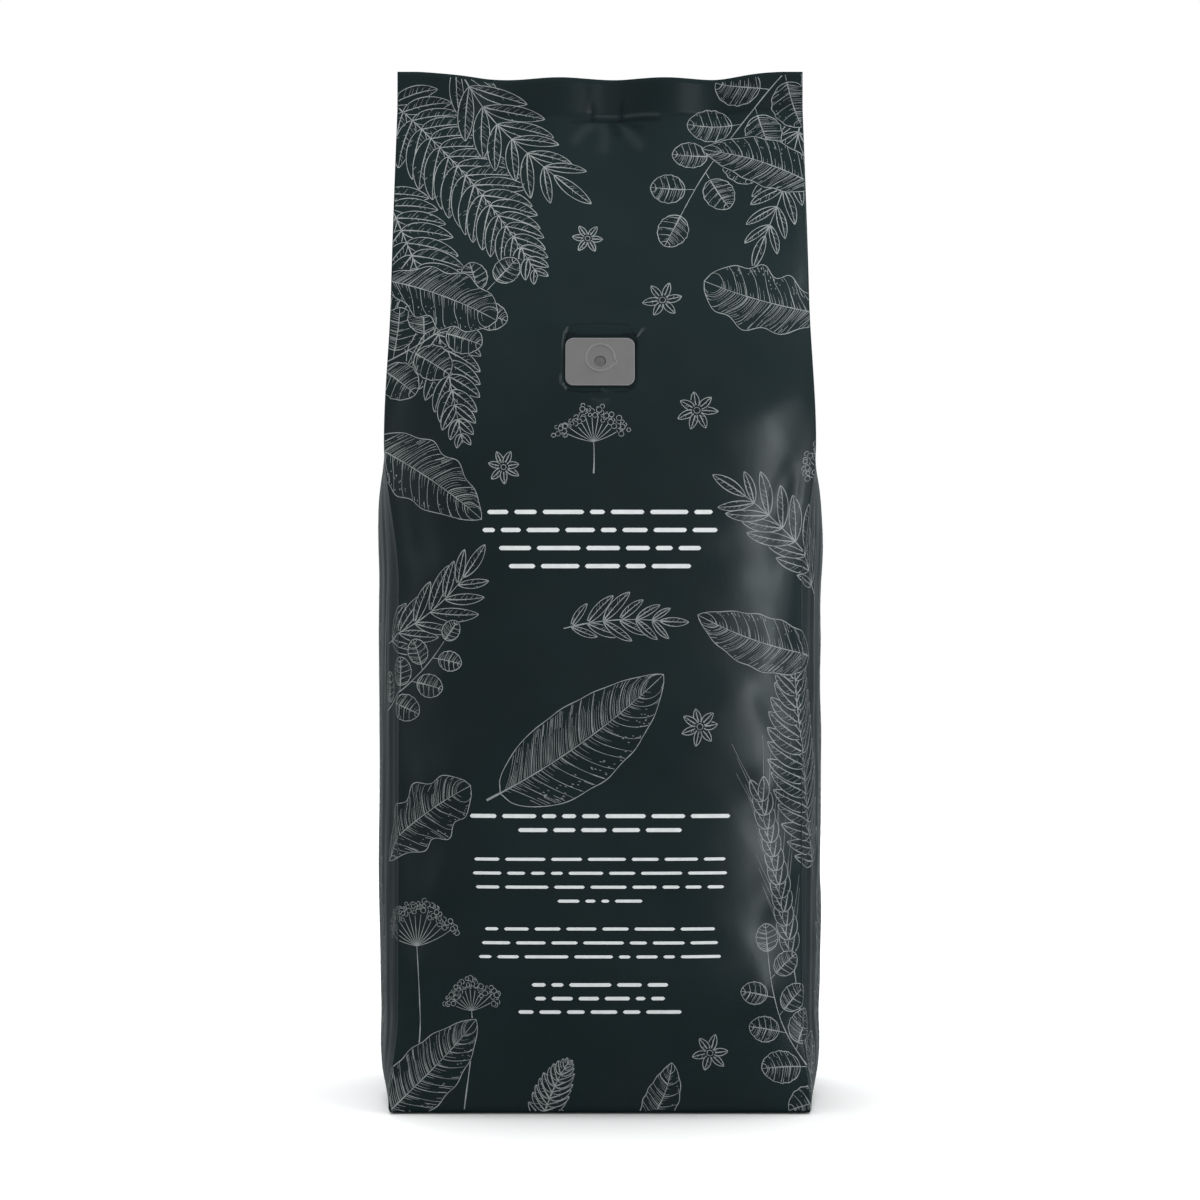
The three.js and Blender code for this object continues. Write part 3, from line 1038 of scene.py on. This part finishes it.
# Blocks of plain bars stand where the photograph has text: top row, pitch, thickness and the rows' widths
BAR_BLOCKS = (
    (191.8, 5.7, 1.35, (72, 76, 66, 60)),
    (95.8, 4.4, 1.25, (86, 54)),
    (82.2, 4.4, 0.95, (83, 84, 82, 28)),
    (60.2, 4.4, 0.95, (76, 78, 80)),
    (42.5, 4.4, 1.15, (45, 43, 54)),
)
BAR_GAP = 1.9
BAR_LENGTHS = (3.6, 15)
BAR_STEP = 0.5

# How far the strokes' middles and their edges stay from the ends of the film
CUT_MARGIN = 0.8
PRINT_FOOT = 0.6
PRINT_TOP = BAG_HEIGHT - 0.4


def bar_rows(rng):
    """Word-like bars, centred row by row."""
    strokes = []
    for top, pitch, thickness, widths in BAR_BLOCKS:
        for row, width in enumerate(widths):
            lengths = []
            while sum(lengths) + BAR_GAP * len(lengths) < width:
                lengths.append(rng.uniform(*BAR_LENGTHS))
            scale = (width - BAR_GAP * (len(lengths) - 1)) / sum(lengths)
            u = -width / 2
            for length in np.array(lengths) * scale:
                run = np.linspace(0, length, max(6, round(length / BAR_STEP)))
                end = np.minimum(run, run[::-1]) / (thickness / 2)
                round_end = np.sqrt(np.clip(1 - (1 - np.minimum(end, 1)) ** 2, 0.04, 1))
                strokes.append((at_height((u + run)[:, None], top - pitch * row), thickness * round_end))
                u += length + BAR_GAP
    return strokes


def ribbons(name, strokes):
    """Thin strips of ink that lie on the film."""
    points = np.concatenate([p for p, _ in strokes])
    half_widths = np.concatenate([w for _, w in strokes]) / 2
    ways = np.concatenate([np.gradient(p, axis=0) for p, _ in strokes])
    out = left_of(ways) * half_widths[:, None]
    corners = np.stack([points + out, points - out], axis=1)
    u, z = corners[..., 0], np.clip(corners[..., 1], PRINT_FOOT, PRINT_TOP)
    placed = film(u, z) + INK_LIFT * film_normal(u, z)
    faces = []
    first = 0
    for stroke_points, _ in strokes:
        for i in range(first, first + len(stroke_points) - 1):
            faces.append((2 * i + 1, 2 * i + 3, 2 * i + 2, 2 * i))
        first += len(stroke_points)
    return make_object(name, placed.reshape(-1, 3), faces)


def on_the_bag(strokes):
    """Leaves out what runs off the film's top or foot."""
    kept = []
    for points, widths in strokes:
        good = (points[:, 1] > CUT_MARGIN) & (points[:, 1] < BAG_HEIGHT - CUT_MARGIN)
        kept += good_stretches(points, widths, good)
    return kept


# Materials

NOISE_RANGE = (0.3, 0.7)


def material(name, colour, roughness):
    mat = bpy.data.materials.new(name)
    mat.use_nodes = True
    tree = mat.node_tree
    shader = tree.nodes["Principled BSDF"]
    feed(shader.inputs["Base Color"], colour)
    feed(shader.inputs["Roughness"], roughness)
    return mat, tree, shader


def feed(socket, value):
    """Gives a socket a number, a vector, a colour or the output of a node."""
    if isinstance(value, bpy.types.NodeSocket):
        socket.id_data.links.new(value, socket)
    elif socket.type == "RGBA":
        socket.default_value = (*value, 1)
    else:
        socket.default_value = value


def node(tree, kind, output, inputs=None, **settings):
    """Adds a node and returns one of its outputs."""
    new = tree.nodes.new("ShaderNode" + kind)
    for name, value in settings.items():
        setattr(new, name, value)
    for name, value in (inputs or {}).items():
        feed(new.inputs[name], value)
    return new.outputs[output]


def noise(tree, scale, detail, stretch=(1, 1, 1)):
    """A noise in object space, whose three axes the stretch scales."""
    place = node(tree, "TexCoord", "Object")
    place = node(tree, "Mapping", "Vector", {"Vector": place, "Scale": stretch})
    return node(tree, "TexNoise", "Fac", {"Vector": place, "Scale": scale, "Detail": detail})


def map_range(tree, value, source, target, smooth=False):
    """Takes a value from the source range to the target range, and holds it beyond."""
    names = ("Value", "From Min", "From Max", "To Min", "To Max")
    turn = "SMOOTHSTEP" if smooth else "LINEAR"
    inputs = dict(zip(names, (value, *source, *target)))
    return node(tree, "MapRange", "Result", inputs, interpolation_type=turn)


def spread(tree, value, low, high):
    """Turns a noise into a value from low to high."""
    return map_range(tree, value, NOISE_RANGE, (low, high))


def mixed(tree, factor, first, second):
    """Mixes two colours."""
    return node(tree, "Mix", "Result", {"Factor": factor, "A": first, "B": second}, data_type="RGBA")


def math_node(tree, operation, *values):
    return node(tree, "Math", "Value", dict(enumerate(values)), operation=operation)


def axis(tree, coordinates, name):
    """One axis of a texture coordinate."""
    return node(tree, "SeparateXYZ", name, {"Vector": node(tree, "TexCoord", coordinates)})


def mottled(tree, scale, detail, low, high):
    """A colour that wanders between two others."""
    return mixed(tree, spread(tree, noise(tree, scale, detail), 0, 1), low, high)


def paint(shader, colour):
    feed(shader.inputs["Base Color"], colour)


def roughen(shader, scale, detail, low, high):
    """Lets the roughness wander from low to high."""
    tree = shader.id_data
    feed(shader.inputs["Roughness"], spread(tree, noise(tree, scale, detail), low, high))


def add_bump(shader, heights, distance, strength):
    inputs = {"Height": heights, "Distance": distance, "Strength": strength}
    feed(shader.inputs["Normal"], node(shader.id_data, "Bump", "Normal", inputs))


FILM_DARK = (0.0074, 0.0160, 0.0172)
FILM_LIGHT = (0.0092, 0.0188, 0.0202)
# Painted highlight for crease ridges and painted shade for crease grooves
CREASE_PAINTED_HIGHLIGHT = (0.055, 0.063, 0.066)
CREASE_PAINTED_SHADE = (0.002, 0.004, 0.0045)
GREY_INK = (0.20, 0.22, 0.22), (0.27, 0.29, 0.29)
WHITE_INK = (0.60, 0.62, 0.62), (0.68, 0.70, 0.70)
PATCH_GREY = (0.140, 0.136, 0.136)
PATCH_PAINTED_HIGHLIGHT = (0.225, 0.223, 0.221)
VENT_GREY = (0.110, 0.110, 0.109)
FLOOR_GREYS = (0.79, 0.79, 0.79), (0.81, 0.81, 0.81)
# The card's dark is painted shade for the film's lower part, seen in place of the pale floor
CARD_PAINTED_SHADE = (0.13, 0.13, 0.13)
CARD_PALE = (0.8, 0.8, 0.8)

# The card's pale ring starts and ends between these distances from the foot, in metres. The dark gap inside
# it is painted contact shadow
RING_STARTS = (0.005, 0.009)
RING_ENDS = (0.03, 0.09)


def darker(colour, share):
    return tuple(share * c for c in colour)


def film_material():
    """Satin film, with a painted highlight where a crease stands up and painted shade where one lies deep.
    """
    mat, tree, shader = material("film", FILM_DARK, 0.42)
    creased = node(tree, "Attribute", "Fac", attribute_name="creased")
    # The crease heights paint a highlight onto ridges, and shade into grooves and round the patch
    ridge = map_range(tree, creased, (0, 0.45), (0, 0.8))
    groove = map_range(tree, creased, (-0.35, 0), (0.8, 0))
    film_and_painted_highlight = mixed(tree, ridge, mottled(tree, 22, 4, FILM_DARK, FILM_LIGHT), CREASE_PAINTED_HIGHLIGHT)
    paint(shader, mixed(tree, groove, film_and_painted_highlight, CREASE_PAINTED_SHADE))
    roughen(shader, 60, 5, 0.30, 0.38)
    add_bump(shader, noise(tree, 260, 6, (1, 1, 0.45)), 0.0004, 0.12)
    shader.inputs["Specular IOR Level"].default_value = 0.4
    return mat


def ink_material(name, low, high):
    mat, tree, shader = material(name, low, 0.5)
    paint(shader, mottled(tree, 500, 2, low, high))
    roughen(shader, 90, 2, 0.45, 0.6)
    return mat


def patch_material():
    mat, tree, shader = material("valve_patch", PATCH_GREY, 0.5)
    grey = mottled(tree, 160, 3, darker(PATCH_GREY, 0.93), PATCH_GREY)
    # Painted highlight on the raised ring and along the rim
    raised = node(tree, "Attribute", "Fac", attribute_name="raised")
    paint(shader, mixed(tree, raised, grey, PATCH_PAINTED_HIGHLIGHT))
    roughen(shader, 300, 3, 0.44, 0.56)
    add_bump(shader, noise(tree, 1500, 3), 0.00005, 0.3)
    return mat


def vent_material():
    mat, tree, shader = material("valve_vent", VENT_GREY, 0.55)
    paint(shader, mottled(tree, 900, 2, darker(VENT_GREY, 0.8), VENT_GREY))
    add_bump(shader, noise(tree, 2000, 3), 0.00005, 0.3)
    return mat


def floor_material():
    mat, tree, shader = material("floor", FLOOR_GREYS[0], 0.9)
    paint(shader, mottled(tree, 3, 2, *FLOOR_GREYS))
    shader.inputs["Specular IOR Level"].default_value = 0.1
    return mat


def card_material():
    """Dark, as painted shade that the film's lower part sees in place of the floor, with a pale ring round
    the foot, where the film sees the floor close by, and painted contact shadow between the ring and the
    foot.
    """
    mat, tree, shader = material("card", CARD_PAINTED_SHADE, 0.9)
    sides = []
    for name, half in (("X", PANEL_WIDTH / 2), ("Y", BODY_HALF_DEPTH)):
        reach = math_node(tree, "ABSOLUTE", axis(tree, "Object", name))
        sides.append(math_node(tree, "SUBTRACT", reach, half * MM))
    outside = math_node(tree, "MAXIMUM", *sides)
    # Painted contact shadow next to the foot, then the pale ring
    near = map_range(tree, outside, RING_STARTS, (0, 1), smooth=True)
    far = map_range(tree, outside, RING_ENDS, (1, 0), smooth=True)
    ring = math_node(tree, "MULTIPLY", near, far)
    paint(shader, mixed(tree, ring, CARD_PAINTED_SHADE, CARD_PALE))
    return mat


# Stage, light and camera

FLOOR_SIZE = (1.6, 1.6, 1)
FLOOR_DROP = 0.0002
CARD_SIZE = (0.6, 0.32, 1)
CARD_DROP = 0.001

# The even white light, and the dim room that gloss sees: how bright each way, and where it brightens
DOME = 1.0
ROOM_FRONT = 0.02
ROOM_SIDE = 0.018
ROOM_BACK = 0.35
ROOM_TOP = 0.03
TOP_OPENS = (0, 0.9)
SIDE_OPENS = (-0.45, 0.1)
BACK_OPENS = (0.68, 1)
ROOM_TINT = (0.91, 1.0, 1.04)

# The lights' places and what they point at, their widths and heights, all in metres, and their power
LIGHTS = (
    ("key_right", (0.72, -0.84, 0.14), (0, 0, 0.14), (0.17, 0.66), 3.1),
    ("fill_left", (-0.85, -0.55, 0.3), (0, 0, 0.17), (0.3, 0.6), 0.3),
    ("side_right", (0.88, -0.5, 0.22), (0, 0, 0.17), (0.34, 0.6), 0.6),
    ("high_right", (0.66, -0.22, 1.0), (0.06, 0, 0.27), (0.25, 0.25), 0.9),
    ("rim_right", (0.95, 0.4, 0.3), (0, 0, 0.17), (0.16, 0.6), 0.48),
    ("rim_left", (-0.95, 0.4, 0.3), (0, 0, 0.17), (0.16, 0.6), 0.48),
    ("back_high", (-0.3, 0.8, 0.72), (0, 0, 0.25), (0.5, 0.25), 3.0),
)
SUN_POWER = 1.6
SUN_SPREAD = 36


def look_at(obj, place, target):
    obj.location = place
    obj.rotation_euler = (Vector(target) - Vector(place)).to_track_quat("-Z", "Y").to_euler()


def area_light(name, place, target, size, power):
    light = bpy.data.lights.new(name, "AREA")
    light.shape = "RECTANGLE"
    light.size, light.size_y = size
    light.energy = power
    light.color = ROOM_TINT
    look_at(add_object(name, light), place, target)


def set_world():
    """A white backdrop, even soft light, and a dim room for what the film's gloss reflects."""
    world = bpy.data.worlds.new("studio")
    bpy.context.scene.world = world
    world.use_nodes = True
    tree = world.node_tree
    tree.nodes.clear()

    def background(strength, tint):
        return node(tree, "Background", "Background", {"Strength": strength, "Color": tint})

    def mix(ray, first, second):
        share = node(tree, "LightPath", ray)
        return node(tree, "MixShader", "Shader", {"Fac": share, 1: first, 2: second})

    across, up = axis(tree, "Generated", "Y"), axis(tree, "Generated", "Z")
    above = map_range(tree, up, TOP_OPENS, (0, ROOM_TOP), smooth=True)
    beside = map_range(tree, across, SIDE_OPENS, (ROOM_FRONT, ROOM_SIDE), smooth=True)
    behind = map_range(tree, across, BACK_OPENS, (0, ROOM_BACK), smooth=True)
    total = math_node(tree, "ADD", math_node(tree, "ADD", above, beside), behind)
    room = background(total, ROOM_TINT)
    white = background(DOME, (1, 1, 1))
    output = tree.nodes.new("ShaderNodeOutputWorld")
    seen = mix("Is Camera Ray", mix("Is Glossy Ray", white, room), white)
    feed(output.inputs["Surface"], seen)


def plane(name, size, drop, mat):
    corners = np.array([(-1, -1, 0), (1, -1, 0), (1, 1, 0), (-1, 1, 0)])
    sheet = make_object(name, corners * size / MM, [(0, 1, 2, 3)])
    sheet.location.z = -drop
    sheet.data.materials.append(mat)
    return sheet


def set_stage():
    """A pale floor, kept out of the film's light, and under it a dark card of painted shade that stands in
    for it there.
    """
    floor = plane("floor", FLOOR_SIZE, FLOOR_DROP, floor_material())
    floor.visible_glossy = False
    floor.visible_diffuse = False
    floor.visible_shadow = False
    card = plane("card", CARD_SIZE, CARD_DROP, card_material())
    card.visible_camera = False
    card.visible_glossy = False


def set_lights():
    for light in LIGHTS:
        area_light(*light)
    sun = add_object("overhead", bpy.data.lights.new("overhead", "SUN"))
    sun.data.energy = SUN_POWER
    sun.data.angle = math.radians(SUN_SPREAD)
    sun.visible_glossy = False


def set_camera():
    data = bpy.data.cameras.new("camera")
    data.sensor_width = SENSOR_WIDTH
    data.lens = SENSOR_WIDTH * CAMERA_DISTANCE / VIEW_WIDTH
    camera = add_object("camera", data)
    look_at(camera, (0, -CAMERA_DISTANCE * MM, CAMERA_HEIGHT * MM), (0, 0, CAMERA_HEIGHT * MM))
    bpy.context.scene.camera = camera


def dress(piece, mat, slot, *replaced):
    piece.data.materials.append(mat)
    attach(piece, "root")
    if replaced:
        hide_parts(*replaced)


set_camera()
set_stage()
set_world()
set_lights()
bpy.context.scene.view_settings.view_transform = "Standard"

dress(bag_film(), film_material(), "film", "bag")
dress(valve_patch(), patch_material(), "valve_patch", "valve_patch")
dress(valve_vent(), vent_material(), "valve_vent", "valve_vent")

grey_ink = ink_material("print_grey", *GREY_INK)
for side, strokes in by_side(on_the_bag(place_plants().visible())).items():
    dress(ribbons(f"{side}_foliage", strokes), grey_ink, "print_grey")
bars = ribbons("bar_print", bar_rows(np.random.default_rng(2)))
dress(bars, ink_material("print_white", *WHITE_INK), "print_white")
